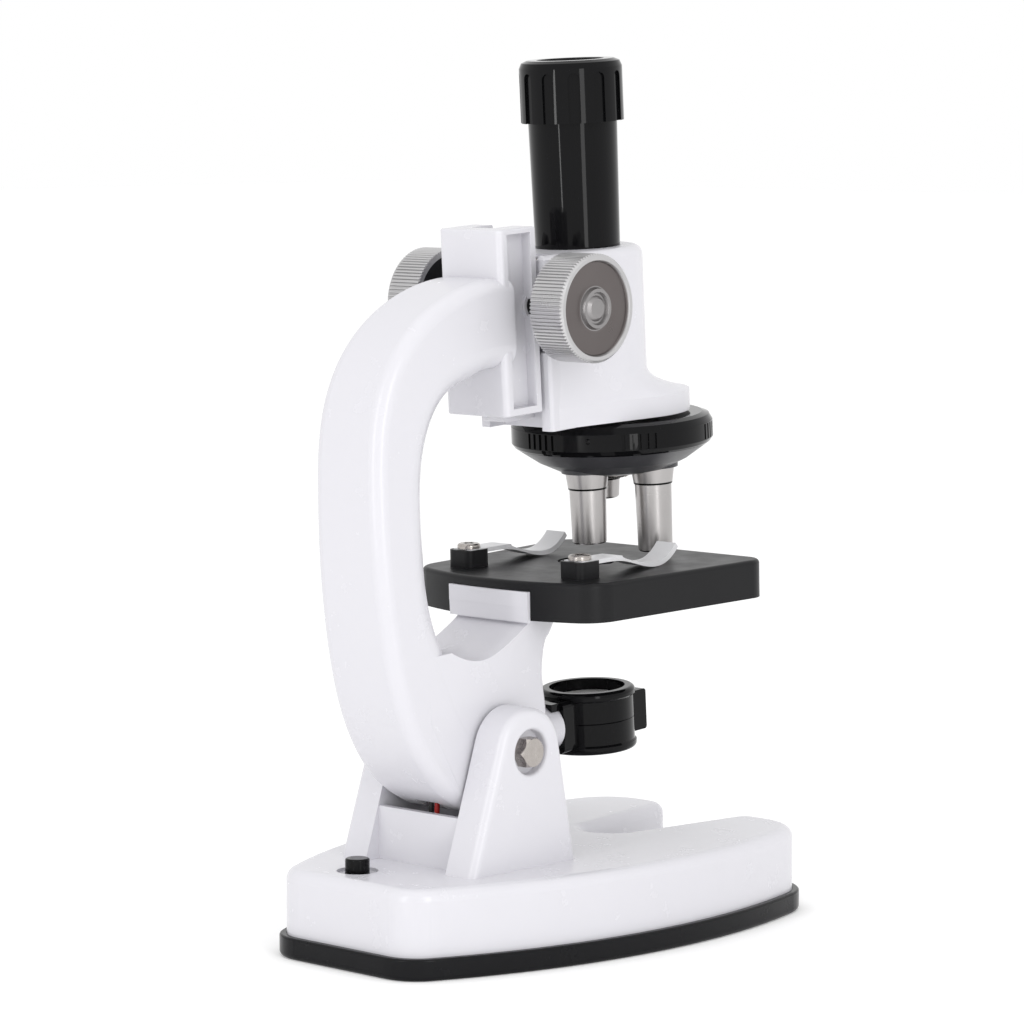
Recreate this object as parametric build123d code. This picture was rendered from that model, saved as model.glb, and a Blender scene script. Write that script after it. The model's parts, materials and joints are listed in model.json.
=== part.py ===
from build123d import *
import os
from math import atan2, cos, pi, radians, sin, sqrt, tan

# Children's compound microscope: a hollow horseshoe base with two ears, a C-shaped arm that
# tilts between them, a sliding head with rack focus, a three-objective nosepiece, a stage with
# two clips and a flip lamp. Lengths are in millimetres. The front of the microscope is -Y.
# The origin is on the table, under the middle of the base.

# ---- base ----
base_half_length = 70.5
side_arc_radius = 170.0
side_arc_centre = (125.3, -13.0)
back_corner_radius = 12.0
leg_outer_radius = 17.0
leg_inner_radius = 7.5
notch_apex_y = -24.5
notch_apex_radius = 5.5
notch_half_angle = 8.5
base_height = 22.0
rim_height = 5.5
rim_proud = 1.7
cover_floor = 2.0
case_screw_radius = 1.3
case_screw_spots = ((20.0, 57.0), (27.5, -44.0))
casing_wall = 2.0
base_edge_radius = 3.0
fit_gap = 0.15

# ---- ears and pivot ----
pivot_y = 25.65
pivot_z = 50.8
ear_inner = 13.75
ear_thickness = 9.25
ear_top_radius = 11.0
ear_edge_radius = 2.2
ear_foot_front = 8.2
ear_foot_back = 48.0
bridge_height = 35.3
bridge_back = 42.2
bridge_front = 9.5
bridge_wall = 2.0
bolt_radius = 2.0
bolt_head_flats = 7.0
bolt_head_height = 3.5
bolt_chamfer_radius = 3.5
nut_height = 3.2
counterbore_radius = 5.6
counterbore_depth = 2.8

# ---- push button, switch and batteries ----
button_x = 6.0
button_y = 57.6
button_radius = 3.05
button_proud = 3.2
flange_top = 16.7
flange_bottom = 15.7
switch_top = 13.4
battery_radius = 7.1
battery_length = 49.5
battery_y = 12.0
battery_x = 7.35
battery_floor = 2.1
tray_wall = 1.2
tray_half_x = 16.6
tray_half_y = 31.0
tray_top = 17.8
door_half_x = 14.6
door_half_y = 27.0
door_lug_y = 47.8
door_lug_radius = 3.4
door_screw_radius = 0.95

# ---- arm, in its own upright frame with the pivot axis as origin ----
recline = 3.65
arm_wall = 2.2
pivot_hub_radius = 7.5
shin_edge_radius = 2.0
arm_foot_half = 13.0
arm_top_half = 10.45
spine_radius = 6.5
throat_radius = 3.5
bracket_half = 13.45
bracket_back = -10.9
bracket_front = -33.0
bracket_top = 37.4
bracket_bottom = 29.8
block_half = 10.45
block_back = -9.75
block_front = -22.6
block_bottom = 81.2
block_top = 127.7
panel_depth = 3.0
arm_boss_radius = 3.4
arm_screw_radius = 1.3
arm_screw_head_radius = 2.5
arm_screw_seat = 3.0
screw_clearance = 0.03

# ---- focus drive ----
axle_y = -23.3
axle_z = 107.8
axle_radius = 1.6
knob_hub_radius = 2.8
knob_hub_inner_x = 8.75
knob_radius = 13.5
knob_outer_x = 29.96
knob_width = 10.45
knob_ribs = 90
knob_rib_depth = 0.35
knob_face_depth = 3.2
gear_module = 0.8
gear_teeth = 12
gear_half_width = 3.0
pressure_angle = 20.0
tooth_tip_height = 0.5
pinion_root_depth = 0.85
rack_root_depth = 0.95
backlash = 0.16
rail_half = 3.4
rail_back = -15.5
rail_gap = 0.3
rail_bottom = 78.9
rail_top = 119.6
rack_bottom = 86.5
rack_top = 115.0
rail_screw_radius = 1.1
head_recess_y = -29.3
focus_travel = 9.0

# ---- head and eyepiece ----
tube_y = -49.9
head_rear = -24.0
head_bottom = 76.4
head_top = 120.0
head_round_radius = 16.4
head_rear_half = 12.4
head_plate_height = 5.2
head_plate_radius = 20.4
flare_height = 7.6
tube_seat_depth = 22.0
tube_bottom_radius = 10.85
tube_top_radius = 11.4
tube_top = 158.0
draw_tube_radius = 9.2
draw_tube_bottom = 128.0
draw_tube_top = 159.4
cap_radius = 13.1
cap_bottom = 151.75
cap_top = 167.4
cap_flutes = 12

# ---- nosepiece ----
turret_y = -60.18
turret_radius = 26.07
ring_bottom = 68.2
ring_top = 75.7
dome_bottom = 60.6
objective_circle = 10.28
grip_start = 27.0
grip_spacing = 4.6
nub_angle = 118.0
nub_radius = 0.9
objective_hole_radius = 4.6
collar_bottom = 57.45
turret_screw_radius = 1.6
turret_shoulder_radius = 2.15
detent_y = -74.5
detent_radius = 1.2
objective_bottoms = (43.4, 39.9, 52.6)

# ---- stage and clips ----
stage_back = -10.7
stage_top = 40.1
stage_pitch = 2.0
stage_length = 69.0
stage_back_half = 31.0
stage_front_half = 35.0
stage_skirt = 9.8
stage_plate = 2.4
light_hole_radius = 6.0
light_recess_radius = 8.5
stage_screw_radius = 1.15
stage_shelf_thickness = 4.0
stage_screw_x = (-8.0, 8.0)
stage_screw_y = -16.8
post_x = 19.1
post_y = -24.6
post_height = 4.4
clip_width = 6.4
clip_thickness = 1.1
clip_rise = 3.45
clip_screw_radius = 1.3
clip_hinge_y = -28.0

# ---- lamp ----
lamp_y = -46.5
lamp_axis_z = -1.6
lamp_radius = 12.4
lamp_half_height = 8.05
lamp_hub_y = -31.0
lamp_boss_radius = 6.0
lamp_neck_y = -34.0
lamp_neck_half = 5.6
lamp_rim_height = 1.9
lamp_waist_inset = 0.45
lamp_recess = 4.2
lamp_tab_reach = 3.4
lamp_seam = 0.15
lamp_screw_radius = 1.2

# ---- leads ----
lead_radius = 0.65
lead_hole_x = 3.4
lead_bend = 2.2
lead_split_x = 1.0


def arm_place(part):
    """Carry a piece from the arm's upright frame to the reclined arm on its pivot."""
    return Pos(0, pivot_y, pivot_z) * Rot(-recline, 0, 0) * part


def save(name, part):
    export_step(part, os.path.join("parts", name + ".step"))


def save_arm(name, part):
    save(name, arm_place(part))


def block(x0, x1, y0, y1, z0, z1):
    middle = ((x0 + x1) / 2, (y0 + y1) / 2, (z0 + z1) / 2)
    return Pos(*middle) * Box(x1 - x0, y1 - y0, z1 - z0)


def rod_z(radius, x, y, z0, z1):
    return Pos(x, y, (z0 + z1) / 2) * Cylinder(radius, z1 - z0)


def rod_x(radius, x0, x1, y, z):
    return Pos((x0 + x1) / 2, y, z) * Rot(0, 90, 0) * Cylinder(radius, x1 - x0)


def rod_y(radius, x, y0, y1, z):
    return Pos(x, (y0 + y1) / 2, z) * Rot(90, 0, 0) * Cylinder(radius, y1 - y0)


def across_x(profile, x0, x1):
    """Extrude a profile drawn in the Y-Z plane from x0 to x1."""
    return Pos(x0, 0, 0) * extrude(Plane.YZ * profile, amount=x1 - x0)


def turned(points, x=0.0, y=0.0):
    """Solid of revolution about Z from (radius, z) points."""
    face = Plane.XZ * make_face(Polyline(*points, close=True))
    return Pos(x, y, 0) * revolve(face, Axis.Z)


def group(parts):
    return Compound(children=list(parts))


def edges_at_z(part, z, tolerance=0.02):
    return part.edges().filter_by_position(Axis.Z, z - tolerance, z + tolerance)


# ------------------------------------------------------------------ base

def base_outline(inset):
    """Horseshoe plan of the base, drawn in from its rim by the inset."""
    radius = side_arc_radius - inset
    half = base_half_length - inset
    cx, cy = side_arc_centre
    plan = Pos(cx, cy) * Circle(radius) & Pos(-cx, cy) * Circle(radius)
    plan = plan & Rectangle(200, 2 * half)
    back = plan.vertices().filter_by_position(Axis.Y, half - 1, half + 1)
    plan = fillet(back, back_corner_radius - inset)
    front = plan.vertices().filter_by_position(Axis.Y, -half - 1, -half + 1)
    plan = fillet(front, leg_outer_radius - inset)
    apex = notch_apex_radius + inset
    apex_y = notch_apex_y - notch_apex_radius
    slope = tan(radians(notch_half_angle))
    reach = 2 * base_half_length
    wide = apex + reach * slope
    wedge = Polyline((-apex, apex_y), (-wide, apex_y - reach), (wide, apex_y - reach), (apex, apex_y),
                     close=True)
    notch = make_face(wedge) + Pos(0, apex_y) * Circle(apex)
    plan = plan - notch
    tips = plan.vertices().filter_by_position(Axis.Y, -half - 1, -half + 1).sort_by(SortBy.DISTANCE)
    return fillet(tips[:2], leg_inner_radius - inset)


def ear_profile():
    foot = Line((ear_foot_front, base_height - 3), (ear_foot_back, base_height - 3))
    crown = CenterArc((pivot_y, pivot_z), ear_top_radius, 0, 359.9)
    return make_face(make_hull(Curve([foot, crown]).edges()))


def ear(side):
    inner = ear_inner * side
    outer = (ear_inner + ear_thickness) * side
    solid = across_x(ear_profile(), min(inner, outer), max(inner, outer))
    rim = solid.faces().sort_by(Axis.X)[-1 if side > 0 else 0].edges()
    solid = fillet(rim.filter_by_position(Axis.Z, base_height, 99), ear_edge_radius)
    sink = outer - side * counterbore_depth
    solid -= rod_x(counterbore_radius, min(sink, outer), max(sink, outer), pivot_y, pivot_z)
    mouth = solid.edges().filter_by(GeomType.CIRCLE).filter_by(
        lambda e: abs(e.radius - counterbore_radius) < 0.01 and abs(e.center().X - outer) < 0.1)
    solid = fillet(mouth, 1.0)
    return solid - rod_x(bolt_radius + fit_gap, min(inner, outer) - 1, max(inner, outer) + 1,
                         pivot_y, pivot_z)


def casing_screw_points():
    return [(x * side, y) for x, y in case_screw_spots for side in (-1, 1)]


def base_casing():
    seat = rim_proud + fit_gap
    outer = extrude(base_outline(seat), base_height - cover_floor - 0.2)
    outer = Pos(0, 0, cover_floor + 0.2) * outer
    outer = fillet(edges_at_z(outer, base_height), base_edge_radius)
    inside = seat + casing_wall
    cavity = extrude(base_outline(inside), base_height - casing_wall - cover_floor)
    casing = outer - Pos(0, 0, cover_floor) * cavity
    for side in (-1, 1):
        casing += ear(side)
    casing += block(-ear_inner, ear_inner, bridge_back - bridge_wall, bridge_back,
                    base_height - 1, bridge_height)
    casing += block(-ear_inner, ear_inner, bridge_front, bridge_front + bridge_wall,
                    base_height - 1, bridge_height - 1.5)
    casing -= block(-ear_inner + 1, ear_inner - 1, bridge_front + bridge_wall + 1,
                    bridge_back - bridge_wall - 1, base_height - 4, base_height + 1)
    casing -= rod_z(5.2, button_x, button_y, base_height - 0.8, base_height + 1)
    casing += rod_z(4.6, button_x, button_y, base_height - 4.5, base_height - 0.8)
    casing -= rod_z(button_radius + 0.12, button_x, button_y, base_height - 5, base_height + 1)
    for x, y in casing_screw_points():
        casing += rod_z(3.6, x, y, cover_floor + 2.2, base_height - 1)
        casing -= rod_z(case_screw_radius + screw_clearance, x, y, cover_floor, base_height - 6)
    return casing


def bottom_cover():
    cover = extrude(base_outline(0), rim_height)
    cover = fillet(edges_at_z(cover, 0), 1.3)
    cover = fillet(edges_at_z(cover, rim_height), 0.6)
    cover -= Pos(0, 0, cover_floor) * extrude(base_outline(rim_proud), rim_height)
    cover += Pos(0, battery_y, tray_top / 2) * Box(2 * tray_half_x, 2 * tray_half_y, tray_top)
    inner_x = tray_half_x - tray_wall
    inner_y = tray_half_y - tray_wall
    cover -= block(-inner_x, inner_x, battery_y - inner_y, battery_y + inner_y, cover_floor, tray_top - 1.0)
    cover -= Pos(0, 0, -1) * extrude(door_outline(0), cover_floor + 1.5)
    for x, y in casing_screw_points():
        cover += rod_z(4.2, x, y, 1, cover_floor + 2.0)
        cover -= rod_z(1.6, x, y, -1, cover_floor + 3)
        cover -= rod_z(2.9, x, y, -1, 2.4)
    cover += rod_z(door_lug_radius + 0.9, 0, door_lug_y, cover_floor, 8.0)
    return cover - rod_z(door_screw_radius, 0, door_lug_y, -1, 7.0)


def pan_head(radius, length, head_radius, head_height):
    """Cross-head screw along Z with its head above z = 0 and its shank below."""
    shank = rod_z(radius, 0, 0, -length, 0.01)
    head = rod_z(head_radius, 0, 0, 0, head_height)
    head = fillet(edges_at_z(head, head_height), head_height * 0.55)
    screw = head + shank
    slot = Box(head_radius * 1.1, head_radius * 0.28, head_height)
    for angle in (0, 90):
        screw -= Pos(0, 0, head_height) * Rot(0, 0, angle) * slot
    return screw


def base_screws():
    screw = Rot(180, 0, 0) * pan_head(case_screw_radius, 11.0, 2.6, 1.4)
    return group([Pos(x, y, 2.3) * screw for x, y in casing_screw_points()])


def door_outline(gap):
    """Plan of the battery door: a rectangle with a round tongue for its screw."""
    plan = Pos(0, battery_y) * Rectangle(2 * (door_half_x - gap), 2 * (door_half_y - gap))
    start = battery_y + door_half_y - 1
    tongue = Pos(0, (start + door_lug_y) / 2) * Rectangle(2 * (door_lug_radius - gap), door_lug_y - start)
    return plan + tongue + Pos(0, door_lug_y) * Circle(door_lug_radius - gap)


def battery_door():
    door = Pos(0, 0, 0.2) * extrude(door_outline(0.25), cover_floor - 0.4)
    front = battery_y - door_half_y
    for row in range(5):
        y = front + 5 + row * 2.2
        door -= block(-7, 7, y - 0.5, y + 0.5, 0, 0.7)
    for x in (-8, 8):
        door += block(x - 2, x + 2, front + 0.3, front + 1.9, 1.5, 3.0)
        door += block(x - 2, x + 2, front - 1.6, front + 1.9, cover_floor + 0.1, 3.0)
    door -= rod_z(2.5, 0, door_lug_y, 0, 1.0)
    return door - rod_z(door_screw_radius + 0.2, 0, door_lug_y, 0, 3)


def battery_door_screw():
    return Pos(0, door_lug_y, 0.98) * Rot(180, 0, 0) * pan_head(door_screw_radius, 5.0, 2.3, 0.75)


def battery(x, turn):
    can = rod_z(battery_radius, 0, 0, -battery_length / 2, battery_length / 2 - 1.2)
    can = fillet(can.edges(), 0.6)
    can += rod_z(2.7, 0, 0, battery_length / 2 - 1.4, battery_length / 2)
    return Pos(x, battery_y, battery_floor + battery_radius) * Rot(90 * turn, 0, 0) * can


def batteries():
    return group([battery(-battery_x, 1), battery(battery_x, -1)])


def coil(radius, pitch, height, wire_radius):
    path = Helix(pitch=pitch, height=height, radius=radius)
    section = Plane(origin=path @ 0, z_dir=path % 0) * Circle(wire_radius)
    return sweep(section, path)


def battery_contacts():
    """A plate at the button end and a coil spring at the flat end of each cell."""
    pieces = []
    z = battery_floor + battery_radius
    reach = tray_half_y - tray_wall - 0.25
    for x, turn in ((-battery_x, 1), (battery_x, -1)):
        for end in (-1, 1):
            pieces.append(Pos(x, battery_y + end * reach, z) * Box(9, 0.4, 9))
        spring = coil(3.0, 1.2, 3.6, 0.35)
        spring_y = battery_y + turn * (reach - 0.6)
        pieces.append(Pos(x, spring_y, z) * Rot(90 * turn, 0, 0) * spring)
    return group(pieces)


def push_button():
    """Black cap with a flange under the casing and a stem that works the switch."""
    top = base_height + button_proud
    cap = rod_z(button_radius, button_x, button_y, flange_top - 0.1, top)
    cap = fillet(edges_at_z(cap, top), 0.5)
    cap += rod_z(button_radius + 1.1, button_x, button_y, flange_bottom, flange_top)
    return cap + rod_z(1.1, button_x, button_y, switch_top - 1.8, flange_bottom + 0.1)


def button_spring():
    height = flange_bottom - switch_top - 0.6
    return Pos(button_x, button_y, switch_top + 0.3) * coil(2.0, height / 2, height, 0.2)


def power_switch():
    body = block(button_x - 4, button_x + 4, button_y - 4, button_y + 4, switch_top - 6.5, switch_top)
    body -= rod_z(1.25, button_x, button_y, switch_top - 3.8, switch_top + 1)
    for side in (-1, 1):
        leg = button_x + side * 2.5
        body += block(leg - 0.4, leg + 0.4, button_y - 0.3, button_y + 0.3, switch_top - 9.0,
                      switch_top - 6.0)
    return body


def switch_holder():
    """Bracket on the bottom cover with a pocket that the switch stands in."""
    ledge = switch_top - 6.55
    holder = block(button_x - 6, button_x + 6, button_y - 5.5, button_y + 5.5, cover_floor, ledge + 3.0)
    holder -= block(button_x - 4.1, button_x + 4.1, button_y - 4.1, button_y + 4.1, ledge, ledge + 9)
    return holder - block(button_x - 3.3, button_x + 3.3, button_y - 2.0, button_y + 2.0,
                          cover_floor + 1.0, ledge + 1)


def pivot_bolt():
    start = -(ear_inner + ear_thickness - counterbore_depth) - bolt_head_height
    head = across_x(Pos(pivot_y, pivot_z) * RegularPolygon(bolt_head_flats / 2, 6, major_radius=False),
                    start, start + bolt_head_height)
    rise = bolt_head_height + 1.3
    cone = Cone(bolt_chamfer_radius, bolt_chamfer_radius + rise / 1.5, rise)
    bolt = head & Pos(start + rise / 2, pivot_y, pivot_z) * Rot(0, 90, 0) * cone
    return bolt + rod_x(bolt_radius, start + bolt_head_height - 0.01, ear_inner + ear_thickness + 0.4,
                        pivot_y, pivot_z)


def pivot_nut():
    start = ear_inner + ear_thickness - counterbore_depth
    nut = across_x(Pos(pivot_y, pivot_z) * RegularPolygon(bolt_head_flats / 2, 6, major_radius=False),
                   start, start + nut_height)
    return nut - rod_x(bolt_radius, start - 1, start + 5, pivot_y, pivot_z)


# ------------------------------------------------------------------ arm

def arm_half_width(z):
    """Half the arm's width, which grows from the block down to the foot."""
    return arm_foot_half - (z + 17.0) * (arm_foot_half - arm_top_half) / 133.0


def limb_section(spine, throat, shrink):
    """Rounded cross-section between a point on the spine and one on the throat side."""
    dy = spine[0] - throat[0]
    dz = spine[1] - throat[1]
    depth = sqrt(dy * dy + dz * dz) - 2 * shrink
    middle = (0, (spine[0] + throat[0]) / 2, (spine[1] + throat[1]) / 2)
    half = arm_half_width(middle[2]) - shrink
    sheet = Rectangle(2 * half, depth)
    sheet = fillet(sheet.vertices().group_by(Axis.Y)[-1], spine_radius - shrink)
    sheet = fillet(sheet.vertices().filter_by_position(Axis.Y, -depth, -depth / 2 + 0.1),
                   throat_radius - shrink / 2)
    return Plane(origin=middle, x_dir=(1, 0, 0), z_dir=(0, dz, -dy)) * sheet


def limb(shrink):
    """The C-shaped limb from the block down to the foot, lofted through rounded sections."""
    spine = ((-14, 115.5), (0, 115.2), (15.2, 110.2), (27.3, 100.8), (34.8, 87.0), (37.5, 66.0),
             (37.6, 50.0), (36.2, 31.4), (33.8, 17.5), (27.8, 1.8), (20.6, -7.6), (11.0, -14.4))
    throat = ((-14, 92.5), (-1.5, 92.1), (6.5, 89.7), (12.5, 85.2), (16.8, 78.0), (19.4, 66.0),
              (19.8, 51.0), (18.0, 34.5), (13.5, 23.0), (8.0, 11.0), (2.5, 4.0), (-2.5, -1.0))
    return loft([limb_section(s, t, shrink) for s, t in zip(spine, throat)])


def shin_profile():
    """Side view of the foot, shin and web in front of the limb."""
    heel = Spline((14.0, -10.8), (7.0, -15.6), (0, -17), tangents=((-0.8, -0.6), (-1, 0)))
    shin = Spline((0, -17), (-12.2, -12.2), (-17.2, -1.5), (-18, 8.5), (-17.6, 17), (-19.3, 23.6),
                  (-24.5, 30.5), tangents=((-1, 0), (-0.6, 1)))
    shelf = Polyline((-24.5, 30.5), (-24.5, 34.5), (-12.2, 34.5), (-12.2, 29.3))
    web = Spline((-12.2, 29.3), (-4, 25.2), (5, 22.9), (15.5, 26.5), tangents=((1, -0.6), (1, 0.7)))
    back = Polyline((15.5, 26.5), (24, 26.5), (24, 10), (14.0, -10.8))
    return make_face(Curve([heel, shin, shelf, web, back]).edges())


def taper_block():
    """Wedge with the limb's own half-width at every height."""
    low, high = -40, 60
    sides = Polyline((-arm_half_width(low), low), (arm_half_width(low), low), (arm_half_width(high), high),
                     (-arm_half_width(high), high), close=True)
    return Pos(0, 60, 0) * extrude(Plane.XZ * make_face(sides), amount=120)


def shin():
    """Foot and shin, as wide as the limb at every height."""
    wide = arm_foot_half + 3
    solid = across_x(shin_profile(), -wide, wide) & taper_block()
    edges = solid.edges().filter_by(lambda e: e.geom_type == GeomType.BSPLINE and e.length > 40)
    return fillet(edges, shin_edge_radius)


def shin_cavity():
    """Hollow inside the foot and shin, a wall's thickness in from their outline."""
    outline = Polyline((21, 9), (12, -7.6), (6.5, -12.7), (0, -14.7), (-10.4, -10.8), (-14.9, -1.2),
                       (-15.7, 8.5), (-15.3, 17.4), (-17.0, 23.2), (-15.4, 27.0), (-12.5, 26.7),
                       (-4.5, 22.8), (5, 20.5), (14.5, 23.6), (21, 24), close=True)
    half = arm_half_width(10) - arm_wall
    return across_x(make_face(outline), -half, half)


def arm_screw_points():
    return [(26.5, 12.0), (29.0, 52.0), (22.5, 92.0), (-7.5, 16.0)]


def stage_place(part):
    """Put a piece drawn under a level stage top onto the slightly pitched stage."""
    return Pos(0, stage_back, stage_top) * Rot(stage_pitch, 0, 0) * part


def bracket():
    """Shelf on the arm's web that the stage is screwed to."""
    root = block(-bracket_half, bracket_half, bracket_back - 3.2, bracket_back, bracket_bottom, bracket_top)
    under = -stage_plate - fit_gap
    low = under - stage_shelf_thickness
    hole = stage_screw_radius + screw_clearance
    shelf = stage_place(block(-bracket_half, bracket_half, bracket_front - stage_back, -0.2 - fit_gap,
                              low, under))
    for x in stage_screw_x:
        shelf -= stage_place(rod_z(hole, x, stage_screw_y, low - 1, under + 1))
    return root + shelf


def head_block():
    """Upright block at the arm's end with a channel for the focus rail."""
    solid = block(-block_half, block_half, block_front, block_back, block_bottom, block_top)
    solid = fillet(solid.edges().filter_by(Axis.Z).group_by(Axis.Y)[-1], 1.6)
    solid = fillet(edges_at_z(solid, block_top), 0.5)
    solid = fillet(edges_at_z(solid, block_bottom), 0.5)
    for side in (-1, 1):
        surface = side * (block_half + 1)
        floor = side * (block_half - panel_depth)
        solid -= block(min(surface, floor), max(surface, floor), block_front + 1.7, block_back - 2.6,
                       block_bottom + 1.9, block_top - 1.3)
    return solid


def axle_boss(side):
    inner = side * (rail_half + rail_gap)
    outer = side * 8.6
    return rod_x(3.6, min(inner, outer), max(inner, outer), axle_y, axle_z)


def arm_body():
    body = limb(0) + shin()
    body -= limb(arm_wall) - block(-20, 20, -40, -7.5, 80, 130)
    body -= shin_cavity()
    body += bracket() + head_block()
    hub = ear_inner - 0.3
    body += rod_x(pivot_hub_radius, -hub, hub, 0, 0)
    body += rod_y(lamp_boss_radius, 0, lamp_hub_y, -15.5, lamp_axis_z)
    for side in (-1, 1):
        body += axle_boss(side)
    half = rail_half + rail_gap
    body -= block(-half, half, block_front - 5, rail_back + 0.35, block_bottom - 1, block_top + 1)
    body -= block(-half, half, axle_y - 10, axle_y + 5, axle_z - 8, axle_z + 8)
    body -= rod_x(axle_radius + 0.05, -20, 20, axle_y, axle_z)
    for x0, x1 in ((-20, -8.6), (8.6, 20)):
        body -= rod_x(knob_hub_radius + 0.3, x0, x1, axle_y, axle_z)
    body -= rod_x(bolt_radius + 0.1, -20, 20, 0, 0)
    body -= rod_y(lamp_screw_radius, 0, lamp_hub_y - 1, lamp_hub_y + 11, lamp_axis_z)
    for x in (-lead_hole_x, lead_hole_x):
        body -= rod_y(1.0, x, lamp_hub_y - 1, -12.0, lamp_axis_z)
    for y, z in arm_screw_points():
        half_width = arm_half_width(z)
        body += rod_x(arm_boss_radius, -half_width + 1, half_width - 1, y, z)
        body -= rod_x(arm_screw_radius + screw_clearance, -8, 20, y, z)
        body -= rod_x(arm_screw_head_radius + 0.2, half_width - arm_screw_seat, 20, y, z)
    body -= foot_slot()
    return body


def foot_slot():
    """Opening in the bottom of the foot where the lamp's leads come out."""
    return block(-4, 4, 7.8, 14.5, -22, -9)


def arm_shell(keep):
    """One moulded half of the arm, split down its middle plane."""
    return split(arm_body(), bisect_by=Plane.YZ, keep=keep)


def arm_screws():
    screws = []
    for y, z in arm_screw_points():
        seat = arm_half_width(z) - arm_screw_seat
        screw = pan_head(arm_screw_radius, seat + 7, arm_screw_head_radius, 1.4)
        screws.append(Pos(seat, y, z) * Rot(0, 90, 0) * screw)
    return group(screws)


def pivot_washers():
    """Thin washers on the pivot bolt between the foot and the ears."""
    washers = []
    for side in (-1, 1):
        inner = side * (ear_inner - 0.27)
        outer = side * (ear_inner - 0.03)
        ring = rod_x(5.5, min(inner, outer), max(inner, outer), 0, 0)
        washers.append(ring - rod_x(bolt_radius + 0.05, -20, 20, 0, 0))
    return group(washers)


# ------------------------------------------------------------------ focus drive

def gear_profile():
    """Involute pinion in the Y-Z plane with a gap centred on +Y."""
    pitch_radius = gear_module * gear_teeth / 2
    base = pitch_radius * cos(radians(pressure_angle))
    tip = pitch_radius + tooth_tip_height
    root = pitch_radius - pinion_root_depth
    half_angle = pi / (2 * gear_teeth) - backlash / (4 * pitch_radius)
    involute = tan(radians(pressure_angle)) - radians(pressure_angle)
    points = []
    for tooth in range(gear_teeth):
        middle = 2 * pi * (tooth + 0.5) / gear_teeth
        flank = []
        for step in range(5):
            radius = base + (tip - base) * step / 4
            pressure = sqrt(max(radius * radius / (base * base) - 1, 0))
            turn = half_angle + involute - (pressure - atan2(pressure, 1))
            flank.append((radius, turn))
        flank.insert(0, (root, flank[0][1]))
        side = [(r * cos(middle - t), r * sin(middle - t)) for r, t in flank]
        side += [(r * cos(middle + t), r * sin(middle + t)) for r, t in reversed(flank)]
        points += side
    return make_face(Polyline(*points, close=True))


def focus_pinion():
    gear = across_x(gear_profile(), -gear_half_width, gear_half_width)
    gear = Pos(0, axle_y, axle_z) * gear
    return gear - rod_x(axle_radius, -5, 5, axle_y, axle_z)


def focus_axle():
    end = knob_outer_x - knob_face_depth
    return rod_x(axle_radius, -end, end, axle_y, axle_z)


def rack_profile():
    """Rack teeth pointing at the axle from the rail's back wall."""
    pitch_y = axle_y + gear_module * gear_teeth / 2
    spacing = pi * gear_module
    half = spacing / 4 - backlash / 4
    lean = tan(radians(pressure_angle))
    tip = pitch_y - tooth_tip_height
    root = pitch_y + rack_root_depth
    points = [(rail_back, rack_bottom), (root, rack_bottom)]
    first, last = -7, 1
    for tooth in range(first, last + 1):
        z = axle_z + tooth * spacing
        points.append((root, z - half - rack_root_depth * lean))
        points.append((tip, z - half + tooth_tip_height * lean))
        points.append((tip, z + half - tooth_tip_height * lean))
        points.append((root, z + half + rack_root_depth * lean))
    points += [(root, rack_top), (rail_back, rack_top)]
    return make_face(Polyline(*points, close=True))


def focus_rail():
    """Frame that slides in the block's channel, with the rack on its back wall."""
    rail = across_x(rack_profile(), -rail_half, rail_half)
    for low, high in ((rail_bottom, rack_bottom + 0.9), (rack_top - 0.7, rail_top)):
        rail += block(-rail_half, rail_half, head_recess_y, rail_back, low, high)
        rail += block(-8.4, 8.4, head_recess_y, head_recess_y + 2.0, low, min(high, low + 7.0))
    rail = fillet(rail.edges().filter_by(Axis.X).group_by(Axis.Z)[0].sort_by(Axis.Y)[-1:], 1.5)
    for x, z in rail_screw_points():
        rail -= rod_y(rail_screw_radius + screw_clearance, x, head_recess_y - 1, head_recess_y + 3, z)
    return rail


def rail_screw_points():
    return [(x, z) for z in (82.4, 117.2) for x in (-6.2, 6.2)]


def rail_screws():
    screw = Rot(-90, 0, 0) * pan_head(rail_screw_radius, 7.5, 1.9, 0.9)
    return group([Pos(x, head_recess_y + 2.0, z) * screw for x, z in rail_screw_points()])


def knob_cap(side):
    """Plated cap of a focus knob: ribbed rim, dished face and domed hub."""
    valley = knob_radius - knob_rib_depth
    points = []
    for rib in range(knob_ribs):
        for part, radius in ((0.0, knob_radius), (0.45, knob_radius), (0.6, valley), (0.85, valley)):
            angle = 2 * pi * (rib + part) / knob_ribs
            points.append((radius * cos(angle), radius * sin(angle)))
    width = knob_width
    inner = knob_radius - 1.6
    cap = extrude(make_face(Polyline(*points, close=True)), width)
    band = turned(((0, 0), (knob_radius, 0), (knob_radius, width - 0.7), (knob_radius - 0.7, width),
                   (inner, width), (inner - 0.5, width - 0.9), (6.0, width - 1.1),
                   (5.3, width - 1.0), (4.9, width + 0.0), (4.1, width), (3.7, width - 0.8),
                   (3.2, width - 0.8), (2.4, width - 0.1), (0, width + 0.15)))
    cap = cap & band
    cap -= turned(((0, -1), (inner, -1), (inner, width - 2.6), (0, width - 2.6)))
    return focus_side(cap, side)


def knob_core(side):
    """Black plug inside the cap, with a long hub that grips the axle."""
    hub_start = knob_hub_inner_x - (knob_outer_x - knob_width)
    rim = knob_radius - 1.75
    back = knob_width - 2.75
    core = turned(((axle_radius, hub_start), (knob_hub_radius, hub_start), (knob_hub_radius, 0.6),
                   (rim, 0.6), (rim, back), (axle_radius, back)))
    core -= turned(((5.5, 0), (rim - 1.6, 0), (rim - 1.6, 3.2), (5.5, 3.2)))
    return focus_side(core, side)


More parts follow.
